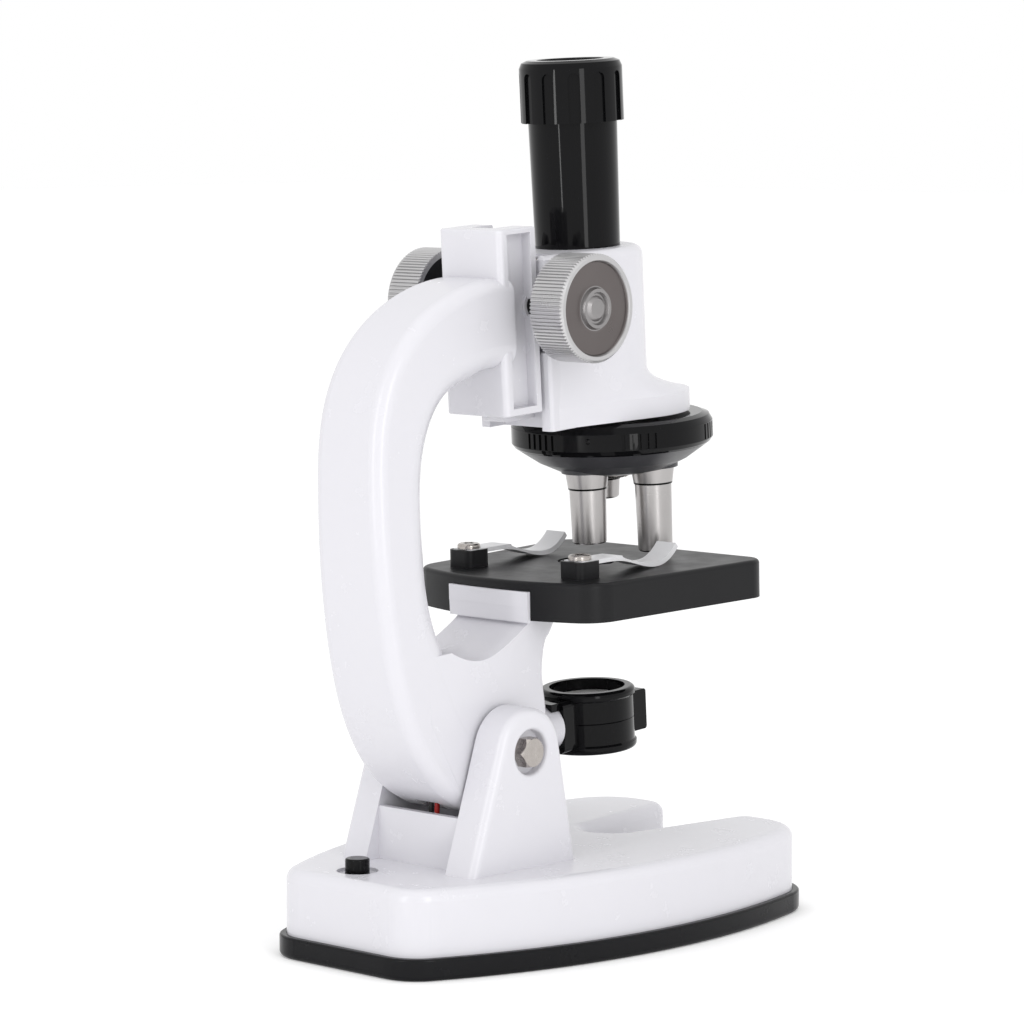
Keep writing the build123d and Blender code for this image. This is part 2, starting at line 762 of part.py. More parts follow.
def focus_side(part, side):
    """Stand a knob piece, drawn with its inner face at z = 0, on one end of the axle."""
    turn = 90 if side > 0 else -90
    return Pos(side * (knob_outer_x - knob_width), axle_y, axle_z) * Rot(0, turn, 0) * part


# ------------------------------------------------------------------ head and eyepiece

def head_plan(spread):
    """Plan of the head, from its waist (spread 0) to its foot plate (spread 1)."""
    centre = tube_y + spread * (turret_y - tube_y)
    radius = head_round_radius + spread * (head_plate_radius - head_round_radius)
    rear = Pos(0, head_rear - 4.5) * Rectangle(2 * (head_rear_half - 0.7), 9.0)
    front = Pos(0, centre) * Rot(0, 0, 90) * Circle(radius)
    return make_face(make_hull((rear + front).edges()))


def head_flare():
    """Concave collar that widens the waist into the foot plate."""
    foot = head_bottom + head_plate_height
    sections = []
    for step in range(6):
        part = step / 5
        spread = (1 - part) ** 2.3
        sections.append(Pos(0, 0, foot + part * flare_height) * head_plan(spread))
    return loft(sections)


def head_housing():
    foot = head_bottom + head_plate_height
    body = Pos(0, 0, head_bottom) * extrude(head_plan(0), head_top - head_bottom)
    body = fillet(edges_at_z(body, head_top), 2.6)
    plate = Pos(0, 0, head_bottom) * extrude(head_plan(1), head_plate_height + 0.01)
    body += plate + head_flare()
    flange = block(-head_rear_half, head_rear_half, head_rear - 9.6, head_rear, head_bottom - 0.3,
                   head_top - 1.0)
    body += fillet(flange.edges().filter_by(Axis.Z), 1.2)
    body -= block(-9.0, 9.0, head_recess_y, head_rear + 1, head_bottom - 1, head_top + 1)
    slot = knob_hub_radius + 0.3
    body -= block(-20, 20, axle_y - slot, axle_y + slot, axle_z - focus_travel, axle_z)
    for z in (axle_z - focus_travel, axle_z):
        body -= rod_x(slot, -20, 20, axle_y, z)
    seat = head_top - tube_seat_depth
    body -= rod_z(tube_bottom_radius + 0.05, 0, tube_y, seat, head_top + 1)
    body -= rod_z(8.4, 0, tube_y, head_bottom + 3.0, seat + 1)
    body -= rod_z(5.2, 0, tube_y, head_bottom - 1, head_bottom + 4)
    body -= rod_z(turret_screw_radius, 0, turret_y, head_bottom - 1, foot - 1.0)
    body -= rod_z(detent_radius + 0.1, 0, detent_y, head_bottom - 1, foot - 1.0)
    for x, z in rail_screw_points():
        body -= rod_y(rail_screw_radius + screw_clearance, x, head_recess_y - 6, head_recess_y + 0.1, z)
    return body


def detent_ball():
    """Ball that clicks into a dimple of the nosepiece."""
    return Pos(0, detent_y, ring_top + 0.05 + detent_radius) * Sphere(detent_radius)


def detent_spring():
    low = ring_top + 0.25 + 2 * detent_radius
    high = head_bottom + head_plate_height - 1.2
    return Pos(0, detent_y, low) * coil(detent_radius - 0.4, (high - low) / 2.5, high - low, 0.15)


def eyepiece_tube():
    seat = head_top - tube_seat_depth
    bore = draw_tube_radius + 0.1
    return turned(((bore, seat + 0.1), (tube_bottom_radius, seat + 0.1), (tube_bottom_radius, head_top),
                   (tube_top_radius, tube_top), (bore, tube_top)), y=tube_y)


def draw_tube():
    bore = draw_tube_radius - 1.2
    return turned(((bore, draw_tube_bottom), (draw_tube_radius, draw_tube_bottom),
                   (draw_tube_radius, draw_tube_top), (bore, draw_tube_top)), y=tube_y)


def eyepiece_cap():
    """Fluted ring that holds the eye lens and pulls out with the draw tube."""
    top = cap_top
    cap = turned(((11.65, cap_bottom), (cap_radius, cap_bottom), (cap_radius, top - 2.0),
                  (cap_radius - 0.6, top - 0.6), (cap_radius - 2.0, top), (8.6, top), (7.2, top - 1.6),
                  (7.2, top - 3.0), (8.3, top - 3.0), (8.3, 159.5), (11.65, 159.5)))
    for flute in range(cap_flutes):
        high = top - 4.6
        groove = block(cap_radius - 0.7, cap_radius + 1, -1.55, 1.55, cap_bottom - 1, high)
        groove += rod_x(1.55, cap_radius - 0.7, cap_radius + 1, 0, high)
        cap -= Rot(0, 0, (flute + 0.5) * 360 / cap_flutes) * groove
    return Pos(0, tube_y, 0) * cap


def lens(radius, bulge, z0, z1):
    """Biconvex lens on the eyepiece axis between two heights."""
    points = [(0, z0)]
    steps = 8
    for step in range(1, steps + 1):
        r = radius * step / steps
        points.append((r, z0 + bulge * (r / radius) ** 2))
    for step in range(steps, -1, -1):
        r = radius * step / steps
        points.append((r, z1 - bulge * (r / radius) ** 2))
    return turned(points, y=tube_y)


def eye_lens():
    return lens(8.2, 0.9, 160.8, 164.3)


def field_lens():
    return lens(7.9, 0.8, 131.0, 133.8)


def field_stop():
    """Blackened ring inside the draw tube."""
    return turned(((5.2, 146.0), (7.95, 146.0), (7.95, 147.2), (5.2, 147.2)), y=tube_y)


def lens_retainer():
    return turned(((7.0, 159.55), (8.2, 159.55), (8.2, 161.25), (7.0, 161.25)), y=tube_y)


# ------------------------------------------------------------------ nosepiece

def objective_points():
    """Centre of each objective: the first is under the eyepiece tube."""
    return [(objective_circle * sin(radians(a)), turret_y + objective_circle * cos(radians(a)))
            for a in (0, -120, 120)]


def turret_ring():
    bore = turret_shoulder_radius + 0.05
    ring = turned(((bore, ring_top - 2.4), (21.5, ring_top - 2.4), (21.5, ring_bottom + 0.6),
                   (24.9, ring_bottom - 0.4), (25.4, ring_bottom), (turret_radius, ring_bottom + 1.0),
                   (turret_radius, ring_top - 2.2), (turret_radius - 0.9, ring_top - 0.6),
                   (turret_radius - 2.6, ring_top), (bore, ring_top)))
    for cluster in range(6):
        for rib in range(5):
            angle = grip_start + cluster * 60 + (rib - 2) * grip_spacing
            groove = block(turret_radius - 0.45, turret_radius + 1, -0.45, 0.45, ring_bottom + 1.2,
                           ring_top - 2.4)
            ring -= Rot(0, 0, angle) * groove
    nub = Pos(turret_radius - 0.5, 0, (ring_bottom + ring_top) / 2) * Sphere(nub_radius)
    ring += Rot(0, 0, nub_angle) * nub
    dimple = Pos(0, detent_y - turret_y, ring_top + detent_radius) * Sphere(detent_radius + 0.5)
    for stop in range(3):
        ring -= Rot(0, 0, 120 * stop) * dimple
    ring = Pos(0, turret_y, 0) * ring
    for x, y in objective_points():
        ring -= rod_z(objective_hole_radius, x, y, ring_top - 4, ring_top + 1)
    return ring


def turret_dome():
    """Shallow bowl under the ring that the objectives screw into."""
    bore = turret_shoulder_radius + 0.05
    dome = turned(((bore, dome_bottom + 0.3), (9, dome_bottom), (14.5, dome_bottom + 1.1),
                   (19.5, dome_bottom + 3.5), (24.7, ring_bottom - 0.5), (21.4, ring_bottom + 0.5),
                   (21.4, ring_bottom + 1.6), (17.5, dome_bottom + 5.4), (13, dome_bottom + 3.6),
                   (bore, dome_bottom + 3.0)))
    dome = Pos(0, turret_y, 0) * dome
    for x, y in objective_points():
        socket = rod_z(6.6, x, y, dome_bottom + 1.2, ring_top - 2.5)
        dome += socket - rod_z(objective_hole_radius, x, y, dome_bottom, ring_top)
        dome -= rod_z(5.62, x, y, 50, dome_bottom + 4.4)
    return dome


def objective(index):
    x, y = objective_points()[index]
    low = objective_bottoms[index]
    neck = collar_bottom + 0.1
    top = dome_bottom + 9.0
    return turned(((2.4, low + 0.9), (2.4, low), (4.1, low), (4.45, low + 0.4), (4.75, collar_bottom),
                   (3.9, collar_bottom), (3.9, neck), (4.5, neck), (4.5, top), (3.3, top),
                   (3.3, low + 0.9)), x, y)


def objective_collars():
    collars = []
    for x, y in objective_points():
        collars.append(turned(((4.55, collar_bottom), (5.0, collar_bottom), (5.6, collar_bottom + 4.2),
                               (5.6, dome_bottom + 4.3), (4.55, dome_bottom + 4.3)), x, y))
    return group(collars)


def objective_lenses():
    lenses = []
    for (x, y), low in zip(objective_points(), objective_bottoms):
        lenses.append(turned(((0, low + 0.35), (1.4, low + 0.6), (2.4, low + 0.92), (3.25, low + 0.92),
                              (3.25, low + 1.9), (0, low + 2.1)), x, y))
    return group(lenses)


def turret_screw():
    """Shoulder screw that the nosepiece turns on."""
    thread_end = head_bottom + head_plate_height - 1.2
    screw = rod_z(turret_screw_radius, 0, turret_y, ring_top - 1, thread_end)
    screw += rod_z(turret_shoulder_radius, 0, turret_y, dome_bottom, head_bottom - 0.02)
    head = rod_z(4.2, 0, turret_y, dome_bottom - 1.3, dome_bottom + 0.2)
    head = fillet(edges_at_z(head, dome_bottom - 1.3), 0.7)
    slot = block(-4.3, 4.3, turret_y - 0.5, turret_y + 0.5, dome_bottom - 2, dome_bottom - 0.7)
    return screw + head - slot


# ------------------------------------------------------------------ stage and clips

def stage_outline(inset):
    back_y = -7.0
    front_y = -stage_length
    arc = ThreePointArc((-stage_back_half + inset, back_y), (0, -inset), (stage_back_half - inset, back_y))
    rim = Polyline((stage_back_half - inset, back_y), (stage_front_half - inset, front_y + inset),
                   (-stage_front_half + inset, front_y + inset), (-stage_back_half + inset, back_y))
    plan = make_face(Curve([arc, rim]).edges())
    back = plan.vertices().group_by(Axis.Y)[-1]
    plan = fillet(back, 9.0 - inset)
    return fillet(plan.vertices().group_by(Axis.Y)[0], 5.5 - inset)


def stage_table():
    table = Pos(0, 0, -stage_skirt) * extrude(stage_outline(0), stage_skirt)
    table = fillet(edges_at_z(table, 0), 1.1)
    table -= Pos(0, 0, -stage_skirt - 1) * extrude(stage_outline(1.9), stage_skirt - stage_plate + 1)
    half = bracket_half + 0.15
    table -= block(-half, half, -12, 5, -stage_skirt - 1, -stage_plate)
    light = tube_y - stage_back
    table -= rod_z(light_hole_radius, 0, light, -stage_plate - 1, 1)
    table -= rod_z(light_recess_radius, 0, light, -0.5, 1)
    for side in (-1, 1):
        table += clip_post(side)
    for x in stage_screw_x:
        table -= rod_z(stage_screw_radius + screw_clearance, x, stage_screw_y, -stage_plate - 1, -0.7)
    return stage_place(table)


def clip_post(side):
    """Rounded post with a seat that is deeper behind the edge the clip rocks on."""
    y = post_y - stage_back
    x = side * post_x
    post = block(x - 4, x + 4, y - 4, y + 4, -1, post_height)
    post = fillet(post.edges().filter_by(Axis.Z), 2.0)
    seat = clip_width / 2 + 0.2
    post -= block(x - seat, x + seat, y - 5, y + 2.9, clip_rise - 0.05, post_height + 1)
    post -= block(x - seat, x + seat, clip_hinge_y - stage_back + 0.25, y + 2.9, clip_rise - 1.5, post_height)
    return post - rod_z(clip_screw_radius + screw_clearance, x, y, 0.4, post_height)


def stage_screws():
    under = -stage_plate - fit_gap - stage_shelf_thickness
    screw = Rot(180, 0, 0) * pan_head(stage_screw_radius, 5.4, 2.2, 1.2)
    return stage_place(group([Pos(x, stage_screw_y, under) * screw for x in stage_screw_x]))


def stage_clip(side):
    """Springy clip that dips to the stage and curls up at its tip."""
    y = post_y - stage_back
    top = clip_rise + clip_thickness
    seat_end = Line((y + 2.3, clip_rise), (y - 4.0, clip_rise))
    under = Spline((y - 4.0, clip_rise), (y - 13.0, 3.0), (y - 23.5, 0.35), (y - 28.5, 0.65),
                   (y - 34.0, 4.3), tangents=((-1, 0), (-1, 1.1)))
    tip = Line((y - 34.0, 4.3), (y - 33.2, 4.3 + clip_thickness))
    over = Spline((y - 33.2, 4.3 + clip_thickness), (y - 28.0, 1.85), (y - 23.8, 1.45), (y - 12.7, 4.1),
                  (y - 4.0, top), tangents=((1, -1.1), (1, 0)))
    close = Polyline((y - 4.0, top), (y + 2.3, top), (y + 2.3, clip_rise))
    clip = across_x(make_face(Curve([seat_end, under, tip, over, close]).edges()),
                    -clip_width / 2, clip_width / 2)
    clip -= rod_z(2.0, 0, y, 0, 9)
    return stage_place(Pos(side * post_x, 0, 0) * clip)


def clip_screws():
    y = post_y - stage_back
    lift = clip_rise + clip_thickness + 0.05
    screw = pan_head(clip_screw_radius, 4.1, 2.95, 1.3)
    return stage_place(group([Pos(s * post_x, y, lift) * screw for s in (-1, 1)]))


# ------------------------------------------------------------------ lamp

def lamp_drum():
    """Round drum with a rim at each face, a slightly smaller waist and a seam groove half way up."""
    low = lamp_axis_z - lamp_half_height
    high = lamp_axis_z + lamp_half_height
    waist = lamp_radius - lamp_waist_inset
    drum = turned(((0, low), (lamp_radius, low), (lamp_radius, low + lamp_rim_height),
                   (waist, low + lamp_rim_height + 0.5), (waist, lamp_axis_z - lamp_seam),
                   (waist - lamp_seam, lamp_axis_z), (waist, lamp_axis_z + lamp_seam),
                   (waist, high - lamp_rim_height - 0.5), (lamp_radius, high - lamp_rim_height),
                   (lamp_radius, high), (0, high)), y=lamp_y)
    return fillet(edges_at_z(drum, low) + edges_at_z(drum, high), 1.2)


def lamp_shell():
    """Both halves of the lamp in one: drum, neck, hub, index tab and finger tab."""
    low = lamp_axis_z - lamp_half_height
    high = lamp_axis_z + lamp_half_height
    drum = lamp_drum()
    neck = block(-lamp_neck_half, lamp_neck_half, lamp_y + 6, lamp_hub_y, low + 1.4, high - 1.4)
    drum += fillet(neck.edges().filter_by(Axis.Y), 1.5)
    tab = block(-6.2, 6.2, lamp_y - lamp_radius - lamp_tab_reach, lamp_y - 9, lamp_axis_z - 5.3,
                lamp_axis_z + 5.3)
    drum += fillet(tab.edges().filter_by(Axis.X), 0.8)
    drum += block(-4.5, 4.5, lamp_neck_y, lamp_hub_y + 3.2, high - 3.4, high - 1.4)
    drum -= rod_y(lamp_boss_radius + 0.3, 0, lamp_hub_y - 0.3, -20, lamp_axis_z)
    drum -= rod_z(lamp_radius - 2.2, 0, lamp_y, low - 1, low + 4.2)
    drum -= rod_z(lamp_radius - 1.8, 0, lamp_y, low + 5.6, high - lamp_recess - 1.2)
    drum -= rod_z(lamp_radius - 2.6, 0, lamp_y, high - lamp_recess, high + 1)
    drum -= rod_z(5.4, 0, lamp_y, high - lamp_recess - 2, high)
    drum -= rod_y(2.6, 0, lamp_y + 8, lamp_hub_y - 3.2, lamp_axis_z)
    drum -= rod_y(lamp_screw_radius + 0.1, 0, lamp_y + 8, lamp_hub_y + 1, lamp_axis_z)
    for x in (-lead_hole_x, lead_hole_x):
        drum -= rod_y(0.9, x, lamp_y + 8, lamp_hub_y + 1, lamp_axis_z)
    return drum


def lamp_halves():
    shell = lamp_shell()
    upper = shell & block(-30, 30, -90, -20, lamp_axis_z, 40)
    lower = shell & block(-30, 30, -90, -20, -40, lamp_axis_z)
    return upper, lower


def lamp_mirror():
    low = lamp_axis_z - lamp_half_height
    return rod_z(lamp_radius - 2.35, 0, lamp_y, low + 2.6, low + 4.15)


def lamp_diffuser():
    floor = lamp_axis_z + lamp_half_height - lamp_recess
    disc = rod_z(lamp_radius - 2.75, 0, lamp_y, floor + 0.05, floor + 1.3)
    return fillet(edges_at_z(disc, floor + 1.3), 0.6)


def lamp_board():
    """Round circuit board that carries the lamp's diode."""
    return rod_z(lamp_radius - 2.1, 0, lamp_y, lamp_axis_z - 1.8, lamp_axis_z - 0.4)


def lamp_led():
    base = lamp_axis_z - 0.38
    led = rod_z(2.5, 0, lamp_y, base, base + 0.9)
    led += Pos(0, lamp_y, base + 0.9) * Sphere(2.5)
    led = led & block(-9, 9, -90, 0, base, 40)
    return led + rod_z(2.9, 0, lamp_y, base, base + 0.5)


def lamp_pivot_screw():
    head_y = lamp_hub_y - 3.3
    screw = Rot(90, 0, 0) * pan_head(lamp_screw_radius, 12.0, 2.4, 1.2)
    return Pos(0, head_y, lamp_axis_z) * screw


# ------------------------------------------------------------------ leads

def lead(points):
    """Insulated lead along straight runs joined by tangent arcs."""
    route = FilletPolyline(*points, radius=lead_bend)
    section = Plane(origin=route @ 0, z_dir=route % 0) * Circle(lead_radius)
    return sweep(section, route)


def arm_lead(side):
    """Lead inside the arm, from beside the pivot to the hollow boss of the lamp."""
    start = side * lead_split_x
    end = side * lead_hole_x
    points = ((start, 10.6, -2.0), (start, 9.6, 5.0), (start, 3.5, 10.0), (side * 1.6, -4.5, 10.0),
              (side * 2.6, -10.4, 3.4), (end, -13.2, lamp_axis_z), (end, -21.0, lamp_axis_z + 0.1),
              (end, lamp_hub_y + 0.2, lamp_axis_z))
    return lead(points)


def base_lead(side):
    """Lead from behind the battery tray up into the slot of the arm's foot."""
    x = side * lead_split_x
    y = pivot_y + 11.2
    tray_back = battery_y + tray_half_y
    over_tray = tray_top + 1.1
    points = ((x, tray_back + 4.0, over_tray - 5), (x, tray_back + 2.5, over_tray),
              (x, y + 0.4, over_tray), (x, y, 26.0), (x, y - 0.7, pivot_z - 4.0))
    return lead(points)


def main():
    os.makedirs("parts", exist_ok=True)
    save("base_casing", base_casing())
    save("bottom_cover", bottom_cover())
    save("base_screws", base_screws())
    save("battery_door", battery_door())
    save("battery_door_screw", battery_door_screw())
    save("batteries", batteries())
    save("battery_contacts", battery_contacts())
    save("power_switch", power_switch())
    save("switch_holder", switch_holder())
    save("power_button", push_button())
    save("button_spring", button_spring())
    save("pivot_bolt", pivot_bolt())
    save("pivot_nut", pivot_nut())
    save_arm("arm_shell_right", arm_shell(Keep.BOTTOM))
    save_arm("arm_shell_left", arm_shell(Keep.TOP))
    save_arm("arm_screws", arm_screws())
    save_arm("pivot_washers", pivot_washers())
    save_arm("focus_axle", focus_axle())
    save_arm("focus_pinion", focus_pinion())
    save_arm("focus_rail", focus_rail())
    save_arm("focus_rail_screws", rail_screws())
    for name, side in (("right", -1), ("left", 1)):
        save_arm("focus_knob_" + name, knob_cap(side))
        save_arm("knob_core_" + name, knob_core(side))
        save_arm("stage_clip_" + name, stage_clip(side))
    save_arm("head_housing", head_housing())
    save_arm("eyepiece_tube", eyepiece_tube())
    save_arm("draw_tube", draw_tube())
    save_arm("eyepiece_cap", eyepiece_cap())
    save_arm("eye_lens", eye_lens())
    save_arm("field_lens", field_lens())
    save_arm("field_stop", field_stop())
    save_arm("eye_lens_retainer", lens_retainer())
    save_arm("turret_ring", turret_ring())
    save_arm("turret_dome", turret_dome())
    for index, name in enumerate(("medium", "high", "low")):
        save_arm("objective_" + name, objective(index))
    save_arm("objective_collars", objective_collars())
    save_arm("objective_lenses", objective_lenses())
    save_arm("turret_screw", turret_screw())
    save_arm("detent_ball", detent_ball())
    save_arm("detent_spring", detent_spring())
    save_arm("stage_table", stage_table())
    save_arm("stage_screws", stage_screws())
    save_arm("clip_screws", clip_screws())
    upper, lower = lamp_halves()
    save_arm("lamp_upper_shell", upper)
    save_arm("lamp_lower_shell", lower)
    save_arm("lamp_mirror", lamp_mirror())
    save_arm("lamp_diffuser", lamp_diffuser())
    save_arm("lamp_board", lamp_board())
    save_arm("lamp_led", lamp_led())
    save_arm("lamp_pivot_screw", lamp_pivot_screw())
    for colour, side in (("red", -1), ("black", 1)):
        save_arm("arm_lead_" + colour, arm_lead(side))
        save("base_lead_" + colour, base_lead(side))


if __name__ == "__main__":
    main()
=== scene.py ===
import json
from collections import namedtuple
from math import cos, radians, sin

import bpy
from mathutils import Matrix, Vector


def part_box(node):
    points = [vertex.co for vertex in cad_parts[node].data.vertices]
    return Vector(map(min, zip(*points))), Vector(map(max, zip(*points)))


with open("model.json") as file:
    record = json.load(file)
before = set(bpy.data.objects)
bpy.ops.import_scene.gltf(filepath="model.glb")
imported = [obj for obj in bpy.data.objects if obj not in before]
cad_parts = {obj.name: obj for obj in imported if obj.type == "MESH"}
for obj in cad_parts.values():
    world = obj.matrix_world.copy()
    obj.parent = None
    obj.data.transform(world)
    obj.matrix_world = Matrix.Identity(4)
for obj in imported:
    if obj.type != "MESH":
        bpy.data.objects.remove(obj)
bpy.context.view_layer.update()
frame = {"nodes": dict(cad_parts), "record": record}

# Children's microscope. The CAD pieces keep their shapes and get their finishes here. Lengths are in metres,
# unless a name ends in MM.
NODES = frame["nodes"]
MM = 0.001
WHITE = (1.0, 1.0, 1.0, 1.0)

# ---- camera: where it stands, seen from the middle of the base ----
CAMERA_PLACE = (-0.68896, 0.75051, 0.21341)
CAMERA_YAW = 42.861
CAMERA_PITCH = 5.973
LENS_MM = 142.03
SENSOR_MM = 36.0
CLIP_START = 0.01

# ---- light: a white room and three area lights that the camera doesn't see ----
OBJECT_MIDDLE = (0, 0, 0.11)
WORLD_STRENGTH = 1.0
Softbox = namedtuple("Softbox", "name turn distance height width length watts")
SOFTBOXES = (
    Softbox("strip_left", turn=-37.0, distance=0.62, height=0.26, width=0.032, length=0.52, watts=0.55),
    Softbox("box_right", turn=25.0, distance=0.62, height=0.26, width=0.115, length=0.52, watts=0.8),
    Softbox("top", turn=0.0, distance=0.05, height=1.7, width=1.4, length=1.4, watts=3.0),
)

# ---- floor ----
FLOOR_HALF = 6.0
FLOOR_COLOURS = ((0.90, 0.90, 0.90), (0.92, 0.92, 0.92))
FLOOR_NOISE_SCALE = 1.5
FLOOR_ROUGHNESS = 0.9
FLOOR_SPECULAR = 0.1
FLOOR_GLOW = 0.12

# ---- noise: scales per metre, and the middle band of a noise value that gets spread ----
NOISE_BAND = (0.3, 0.7)
FLOW_NOISE = dict(scale=38.0, detail=4.0, roughness=0.55)
SMUDGE_NOISE = dict(scale=120.0, detail=5.0, roughness=0.6)
TURNED_NOISE = dict(scale=60.0, detail=6.0, roughness=0.65, stretch=(1, 1, 60))
BARREL_NOISE = dict(scale=160.0, detail=4.0)
CLOUD_NOISE = dict(scale=90.0, detail=5.0, roughness=0.6)
FLECK_NOISE = dict(scale=1500.0, detail=2.0)
PLATING_NOISE = dict(scale=700.0, detail=5.0, roughness=0.6)
FILM_NOISE = dict(scale=150.0)
HAZE_NOISE = dict(scale=200.0)
GRAIN_DETAIL = 2.0
MOULD_GRAIN = 900.0
SPARK_GRAIN = 2600.0

# ---- plastics: the two colours of the flow, the range of roughness, the depth and scale of the grain ----
PLASTIC_IOR = 1.52
COMMON_GRAIN_MM = 0.006
PLAIN_SPECULAR = 0.5
BLACK_SPECULAR = 0.13
SATIN_SPECULAR = 0.17
DOME_SPECULAR = 0.4
Plastic = namedtuple("Plastic", "dark light gloss grain_mm grain_scale specular",
                     defaults=(COMMON_GRAIN_MM, MOULD_GRAIN, PLAIN_SPECULAR))
PLASTICS = {
    "white_abs": Plastic((0.652, 0.645, 0.682), (0.664, 0.657, 0.694), (0.24, 0.28), 0.0012),
    "clip_white": Plastic((0.72, 0.72, 0.735), (0.74, 0.74, 0.755), (0.28, 0.34), 0.0012),
    "black_gloss": Plastic((0.003, 0.003, 0.0035), (0.005, 0.005, 0.0055), (0.04, 0.065), 0.0004,
                           specular=BLACK_SPECULAR),
    "black_soft_gloss": Plastic((0.005, 0.005, 0.006), (0.008, 0.008, 0.009), (0.2, 0.3), 0.002,
                                specular=BLACK_SPECULAR),
    "black_satin": Plastic((0.007, 0.007, 0.008), (0.011, 0.011, 0.012), (0.32, 0.42), 0.006, SPARK_GRAIN,
                           SATIN_SPECULAR),
    "dome_satin": Plastic((0.034, 0.034, 0.038), (0.044, 0.044, 0.049), (0.32, 0.40), 0.002, SPARK_GRAIN,
                          DOME_SPECULAR),
    "natural_nylon": Plastic((0.72, 0.70, 0.63), (0.80, 0.78, 0.71), (0.35, 0.45)),
    "cell_jacket": Plastic((0.10, 0.11, 0.13), (0.16, 0.17, 0.2), (0.3, 0.4)),
    "diffuser_white": Plastic((0.74, 0.74, 0.72), (0.85, 0.85, 0.83), (0.4, 0.5)),
    "circuit_green": Plastic((0.015, 0.10, 0.04), (0.03, 0.16, 0.07), (0.3, 0.4)),
    "lead_red": Plastic((0.42, 0.012, 0.01), (0.55, 0.02, 0.016), (0.35, 0.5)),
    "lead_black": Plastic((0.01, 0.01, 0.01), (0.02, 0.02, 0.02), (0.35, 0.5)),
}

# ---- objective barrels and their collars, with painted shade in a band at each collar's lower edge, where an undercut would be ----
TURNED_COLOURS = ((0.40, 0.385, 0.38), (0.46, 0.445, 0.44))
TURNED_GLOSS = (0.27, 0.31)
TURNED_BUMP_MM = 0.0006
PAINTED_UNDERCUT_SHADE_COLOURS = ((0.008, 0.008, 0.008), (0.012, 0.012, 0.012))
PAINTED_SHADE_BAND_HEIGHT = 0.45 * MM
PAINTED_SHADE_BAND_FADE = 1.2

# ---- focus knob: painted shade on the dished face lies between these radii, and is this deep at most ----
KNOB_RING = 5.35 * MM
KNOB_DISH = 11.8 * MM
KNOB_FACE_DEPTH = 1.6 * MM
KNOB_EDGE = 0.25 * MM
KNOB_FRONT_EDGE = 0.1 * MM
KNOB_BRIGHT = ((0.50, 0.495, 0.50), (0.58, 0.575, 0.58))
# painted shade on the dished face, and lighter painted shade on the hub
KNOB_DISH_PAINTED_SHADE = ((0.135, 0.120, 0.118), (0.165, 0.148, 0.145))
KNOB_HUB_PAINTED_SHADE = ((0.27, 0.26, 0.26), (0.33, 0.32, 0.32))
KNOB_GLOSS = (0.26, 0.36)
KNOB_BUMP_MM = 0.004

# ---- screws and contacts, lenses and mirror ----
NICKEL_COLOURS = ((0.33, 0.30, 0.28), (0.52, 0.49, 0.465))
NICKEL_GLOSS = (0.16, 0.34)
NICKEL_BUMP_MM = 0.01
GLASS_IOR = 1.5
GLASS_COLOURS = ((0.93, 0.96, 0.98), (0.98, 0.99, 1.0))
GLASS_GLOSS = (0.02, 0.05)
MIRROR_COLOURS = ((0.85, 0.86, 0.87), (0.93, 0.93, 0.94))
MIRROR_GLOSS = (0.03, 0.08)


def joint_record(name):
    return next(joint for joint in frame["record"]["behaviour"]["joints"] if joint["name"] == name)


# ------------------------------------------------------------------ material nodes

class Finish:
    """A node material with short calls for the nodes that the finishes share."""

    def __init__(self, name):
        self.material = bpy.data.materials.new(name)
        self.material.use_nodes = True
        self.tree = self.material.node_tree
        self.shader = self.tree.nodes["Principled BSDF"]
        self.place = self.tree.nodes.new("ShaderNodeTexCoord").outputs["Object"]

    def set(self, **sockets):
        for name, value in sockets.items():
            self.shader.inputs[name.replace("_", " ")].default_value = value

    def link(self, source, target):
        self.tree.links.new(source, target)

    def node(self, kind, **settings):
        made = self.tree.nodes.new("ShaderNode" + kind)
        for name, value in settings.items():
            setattr(made, name, value)
        return made

    def noise(self, scale, detail=3.0, roughness=0.5, stretch=(1, 1, 1)):
        mapping = self.node("Mapping")
        mapping.inputs["Scale"].default_value = stretch
        self.link(self.place, mapping.inputs["Vector"])
        texture = self.node("TexNoise")
        texture.inputs["Scale"].default_value = scale
        texture.inputs["Detail"].default_value = detail
        texture.inputs["Roughness"].default_value = roughness
        self.link(mapping.outputs["Vector"], texture.inputs["Vector"])
        return texture.outputs["Fac"]

    def spread(self, value, low, high, start, end):
        """Map a value's band from start to end onto low to high, and hold it flat outside."""
        ranger = self.node("MapRange")
        ranger.inputs["From Min"].default_value = start
        ranger.inputs["From Max"].default_value = end
        ranger.inputs["To Min"].default_value = low
        ranger.inputs["To Max"].default_value = high
        self.link(value, ranger.inputs["Value"])
        return ranger.outputs["Result"]

    def blend_colours(self, factor, first, second):
        mixer = self.node("Mix", data_type="RGBA")
        mixer.inputs["A"].default_value = (*first, 1)
        mixer.inputs["B"].default_value = (*second, 1)
        self.link(factor, mixer.inputs["Factor"])
        return mixer.outputs["Result"]

    def mix(self, factor, first, second):
        mixer = self.node("Mix", data_type="RGBA")
        self.link(factor, mixer.inputs["Factor"])
        self.link(first, mixer.inputs["A"])
        self.link(second, mixer.inputs["B"])
        return mixer.outputs["Result"]

    def multiply(self, first, second):
        product = self.node("Math", operation="MULTIPLY")
        self.link(first, product.inputs[0])
        self.link(second, product.inputs[1])
        return product.outputs["Value"]

    def colour(self, source):
        self.link(source, self.shader.inputs["Base Color"])

    def paint(self, factor, colours):
        self.colour(self.blend_colours(factor, *colours))

    def rough(self, factor, gloss):
        self.link(self.spread(factor, *gloss, *NOISE_BAND), self.shader.inputs["Roughness"])

    def bump(self, height, depth_mm):
        bump = self.node("Bump")
        bump.inputs["Distance"].default_value = depth_mm * MM
        self.link(height, bump.inputs["Height"])
        self.link(bump.outputs["Normal"], self.shader.inputs["Normal"])


